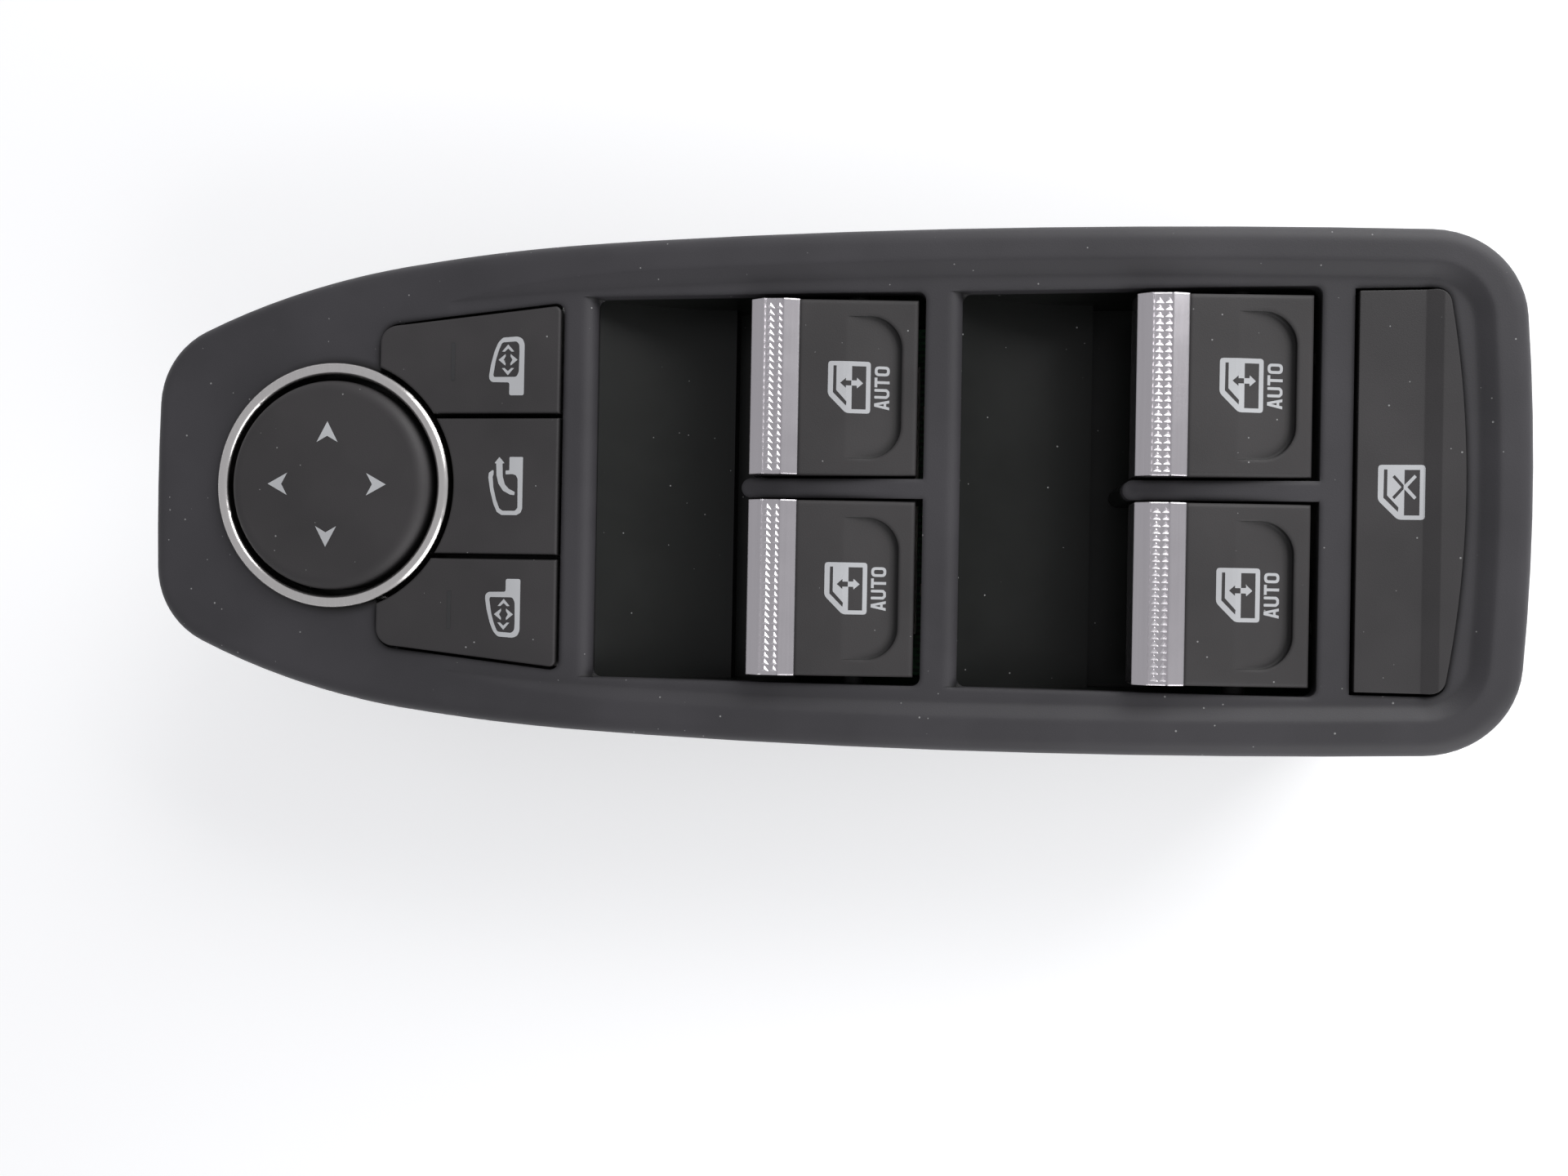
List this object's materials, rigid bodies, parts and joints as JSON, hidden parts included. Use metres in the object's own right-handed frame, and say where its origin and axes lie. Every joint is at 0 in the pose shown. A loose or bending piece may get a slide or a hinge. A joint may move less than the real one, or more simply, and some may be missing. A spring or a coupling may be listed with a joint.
{
  "type": "power window switch",
  "caption": "Long moulded door switch panel with paired window rockers, a lock button, mirror buttons and a round mirror adjuster pad.",
  "frame": {"origin": "under the middle of the bezel, on the flat underside of the lower cover", "axes": "+X along the bezel towards the window lock button, +Y towards the upper side in the user view, +Z out of the face towards the user"},
  "size_m": [0.1936, 0.0716, 0.0447],
  "materials": {
    "bezel_plastic": "fine moulded grain, charcoal",
    "button_plastic": "fine moulded grain, near black",
    "housing_plastic": "smooth moulded, black with a faint sheen",
    "bright_trim": "satin bright plating",
    "nylon": "natural nylon",
    "board": "green solder mask",
    "switch_black": "moulded black",
    "lamp_lens": "clear resin",
    "socket_plastic": "moulded light grey",
    "tinned_pins": "tinned",
    "screw_steel": "zinc plated",
    "spring_steel": "spring steel"
  },
  "bodies": {
    "housing": {"trim_bezel": "bezel_plastic", "knob_trim_ring": "bright_trim", "mirror_switch_body": "housing_plastic", "mirror_switch_cover": "housing_plastic", "mirror_circuit_board": "board", "mirror_tact_switches": "switch_black", "mirror_connector_pins": "tinned_pins", "lock_switch": "switch_black", "slider_guide_1": "nylon", "slider_guide_2": "nylon", "switch_frame": "housing_plastic", "lower_cover": "housing_plastic", "circuit_board": "board", "control_chip": "switch_black", "backlight_leds": "lamp_lens", "connector_shroud": "socket_plastic", "connector_pins": "tinned_pins", "bezel_screws": "screw_steel", "mirror_screws": "screw_steel", "cover_screws": "screw_steel", "spring_clips": "spring_steel"},
    "gimbal": {"knob_gimbal_ring": "nylon"},
    "mirror_pad": {"mirror_knob": "button_plastic"},
    "select_left": {"mirror_select_button_left": "button_plastic"},
    "fold_button": {"mirror_fold_button": "button_plastic"},
    "select_right": {"mirror_select_button_right": "button_plastic"},
    "lock_button": {"window_lock_button": "button_plastic"},
    "rocker_1": {"window_rocker_1": "button_plastic", "rocker_grip_bar_1": "bright_trim"},
    "slider_1": {"contact_slider_1": "nylon"},
    "rocker_2": {"window_rocker_2": "button_plastic", "rocker_grip_bar_2": "bright_trim"},
    "slider_2": {"contact_slider_2": "nylon"},
    "rocker_3": {"window_rocker_3": "button_plastic", "rocker_grip_bar_3": "bright_trim"},
    "slider_3": {"contact_slider_3": "nylon"},
    "rocker_4": {"window_rocker_4": "button_plastic", "rocker_grip_bar_4": "bright_trim"},
    "slider_4": {"contact_slider_4": "nylon"}
  },
  "joints": [
    {"name": "pad_tilt_left_right", "type": "hinge", "parent": "housing", "child": "gimbal", "pos_m": [-0.0673, 0, 0.033], "axis": [0, 1, 0], "range_deg": [-3.5, 3.5], "stiffness_Nm_per_rad": 0.3},
    {"name": "pad_tilt_up_down", "type": "hinge", "parent": "gimbal", "child": "mirror_pad", "pos_m": [-0.0673, 0, 0.033], "axis": [1, 0, 0], "range_deg": [-3.5, 3.5], "stiffness_Nm_per_rad": 0.3},
    {"name": "select_left_press", "type": "slide", "parent": "housing", "child": "select_left", "axis": [0, 0, 1], "range_m": [-0.001, 0], "stiffness_N_per_m": 1500},
    {"name": "fold_press", "type": "slide", "parent": "housing", "child": "fold_button", "axis": [0, 0, 1], "range_m": [-0.001, 0], "stiffness_N_per_m": 1500},
    {"name": "select_right_press", "type": "slide", "parent": "housing", "child": "select_right", "axis": [0, 0, 1], "range_m": [-0.001, 0], "stiffness_N_per_m": 1500},
    {"name": "lock_press", "type": "slide", "parent": "housing", "child": "lock_button", "axis": [0, 0, 1], "range_m": [-0.0015, 0], "stiffness_N_per_m": 1500},
    {"name": "rocker_1_tilt", "type": "hinge", "parent": "housing", "child": "rocker_1", "pos_m": [0.00915, 0.01382, 0.037], "axis": [0, 1, 0], "range_deg": [-7, 7], "stiffness_Nm_per_rad": 0.3},
    {"name": "slider_1_travel", "type": "slide", "parent": "housing", "child": "slider_1", "axis": [1, 0, 0], "range_m": [-0.0021, 0.0021]},
    {"name": "rocker_2_tilt", "type": "hinge", "parent": "housing", "child": "rocker_2", "pos_m": [0.00915, -0.01382, 0.037], "axis": [0, 1, 0], "range_deg": [-7, 7], "stiffness_Nm_per_rad": 0.3},
    {"name": "slider_2_travel", "type": "slide", "parent": "housing", "child": "slider_2", "axis": [1, 0, 0], "range_m": [-0.0021, 0.0021]},
    {"name": "rocker_3_tilt", "type": "hinge", "parent": "housing", "child": "rocker_3", "pos_m": [0.06095, 0.01382, 0.037], "axis": [0, 1, 0], "range_deg": [-7, 7], "stiffness_Nm_per_rad": 0.3},
    {"name": "slider_3_travel", "type": "slide", "parent": "housing", "child": "slider_3", "axis": [1, 0, 0], "range_m": [-0.0021, 0.0021]},
    {"name": "rocker_4_tilt", "type": "hinge", "parent": "housing", "child": "rocker_4", "pos_m": [0.06095, -0.01382, 0.037], "axis": [0, 1, 0], "range_deg": [-7, 7], "stiffness_Nm_per_rad": 0.3},
    {"name": "slider_4_travel", "type": "slide", "parent": "housing", "child": "slider_4", "axis": [1, 0, 0], "range_m": [-0.0021, 0.0021]}
  ],
  "couplings": [
    {"joint": "slider_1_travel", "follows": "rocker_1_tilt", "m_per_rad": -0.0168},
    {"joint": "slider_2_travel", "follows": "rocker_2_tilt", "m_per_rad": -0.0168},
    {"joint": "slider_3_travel", "follows": "rocker_3_tilt", "m_per_rad": -0.0168},
    {"joint": "slider_4_travel", "follows": "rocker_4_tilt", "m_per_rad": -0.0168}
  ]
}
